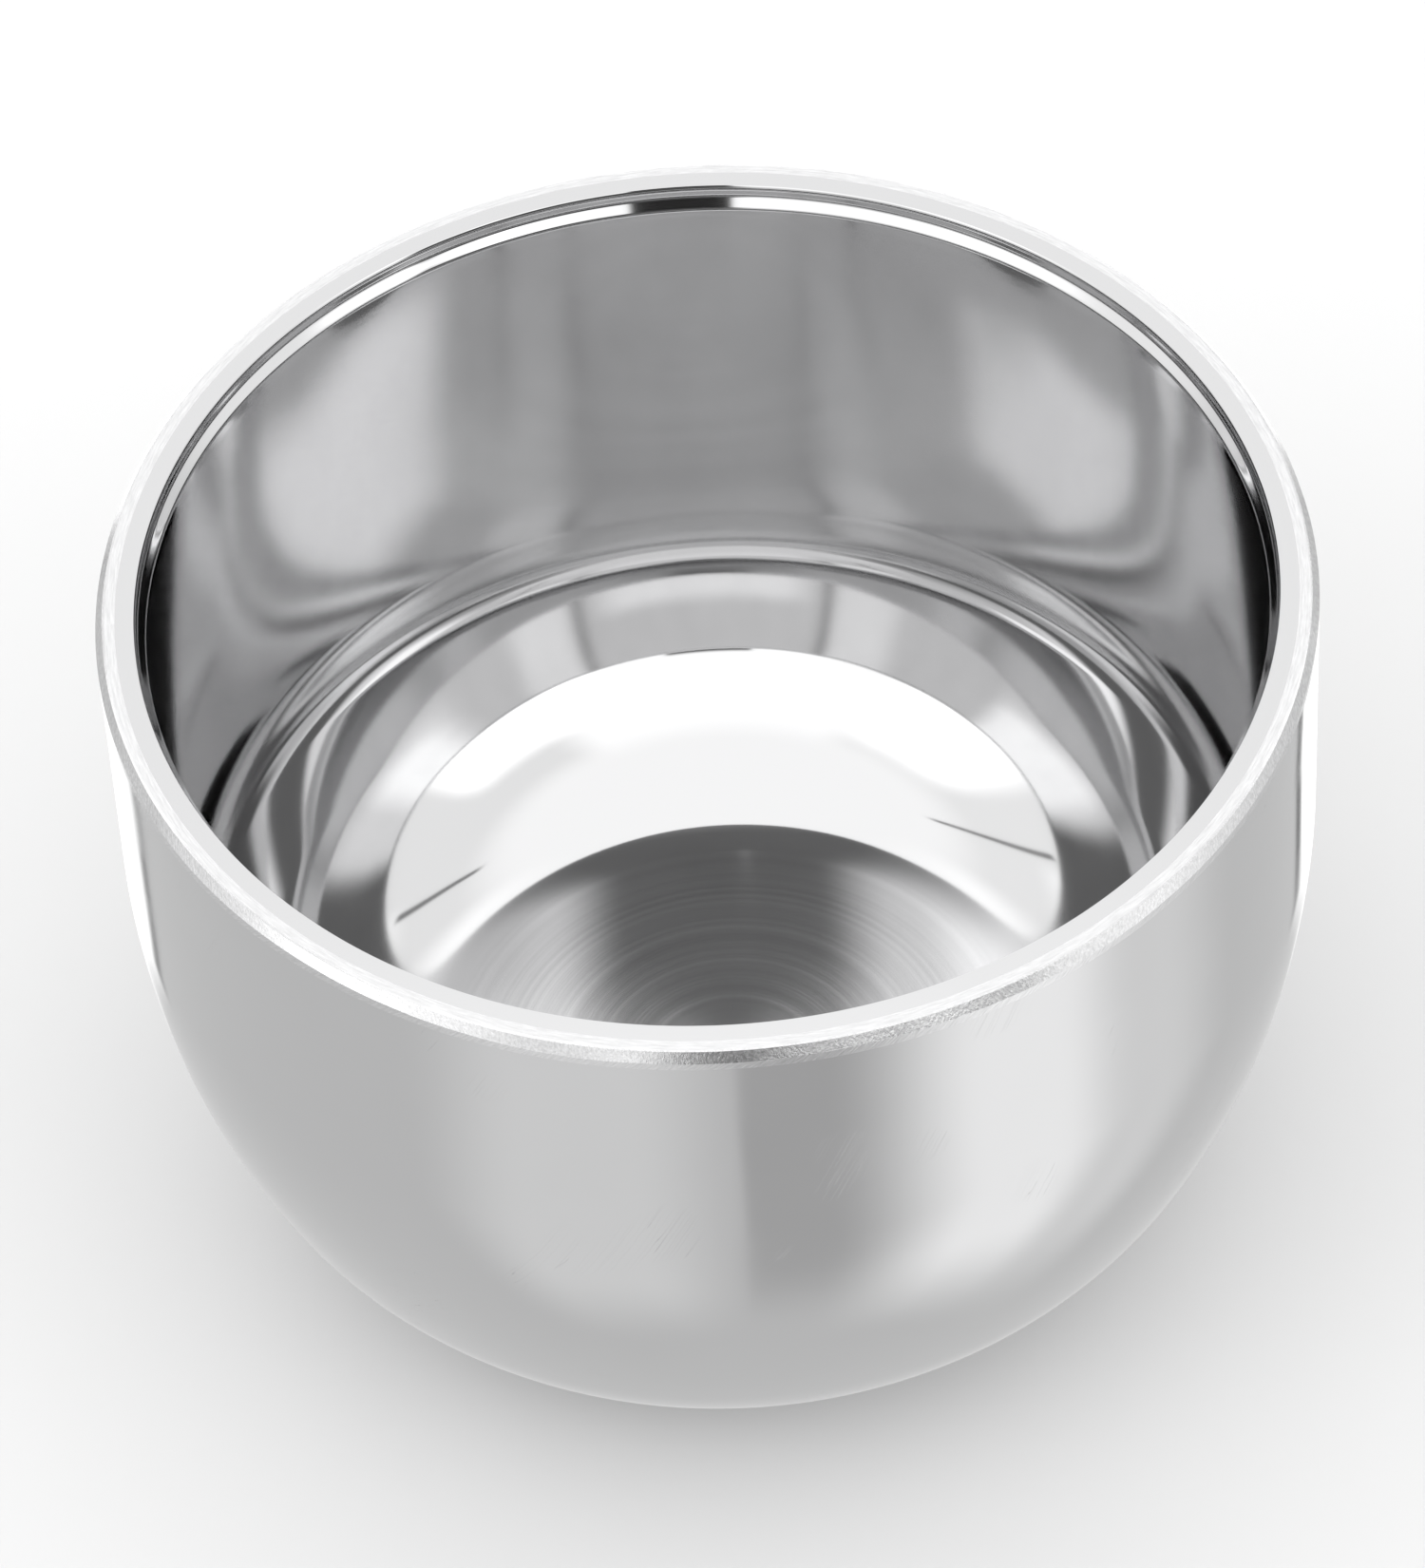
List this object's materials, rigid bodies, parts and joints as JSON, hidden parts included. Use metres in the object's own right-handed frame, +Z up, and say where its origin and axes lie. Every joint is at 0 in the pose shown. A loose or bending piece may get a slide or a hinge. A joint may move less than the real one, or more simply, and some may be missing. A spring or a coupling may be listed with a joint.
{
  "type": "shaving bowl",
  "caption": "Handle-less shaving mug: round double-walled steel bowl with a ground flat rim, in which a wet brush works up lather.",
  "frame": {"origin": "centre of the foot, on the surface that the mug stands on", "axes": "+Z up along the mug's axis of revolution"},
  "size_m": [0.098, 0.098, 0.0635],
  "materials": {
    "mirror_steel": "mirror-polished stainless steel",
    "satin_steel": "stainless steel polished on a lathe, with fine turned rings",
    "ground_steel": "stainless weld metal, ground satin",
    "weld_steel": "stainless weld button, lightly brushed"
  },
  "bodies": {
    "root": {"outer_shell": "mirror_steel", "inner_bowl": "satin_steel", "rim_weld": "ground_steel", "vent_plug": "weld_steel"}
  },
  "joints": []
}
